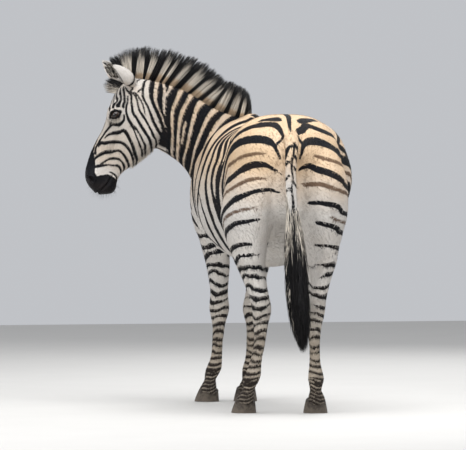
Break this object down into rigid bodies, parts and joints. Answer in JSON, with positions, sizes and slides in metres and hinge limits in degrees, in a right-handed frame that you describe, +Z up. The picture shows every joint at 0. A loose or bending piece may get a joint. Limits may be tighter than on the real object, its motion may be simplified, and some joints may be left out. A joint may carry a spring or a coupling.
{
  "type": "zebra",
  "caption": "Life-size standing plains zebra, a still museum-like model: neck arched round to its left, head in profile, nose down, tail hanging.",
  "frame": {"origin": "middle of the model's own box in plan, on the floor under the hooves", "axes": "+Y forward along the body from the tail to the chest, +X to the animal's right, +Z up"},
  "size_m": [1.0108, 1.6461, 1.5821],
  "materials": {
    "coat": "short striped coat, matt",
    "mane_hair": "coarse hair, matt",
    "horn": "dull horn",
    "eye": "wet, glossy"
  },
  "bodies": {
    "root": {"trunk": "coat", "neck": "coat", "head": "coat", "ear_left": "coat", "ear_right": "coat", "foreleg_left": "coat", "foreleg_right": "coat", "hindleg_left": "coat", "hindleg_right": "coat", "tail_dock": "coat", "tail_tuft": "mane_hair", "mane": "mane_hair", "forelock": "mane_hair", "eye_left": "eye", "eye_right": "eye", "forehoof_left": "horn", "forehoof_right": "horn", "hindhoof_left": "horn", "hindhoof_right": "horn"}
  },
  "joints": []
}
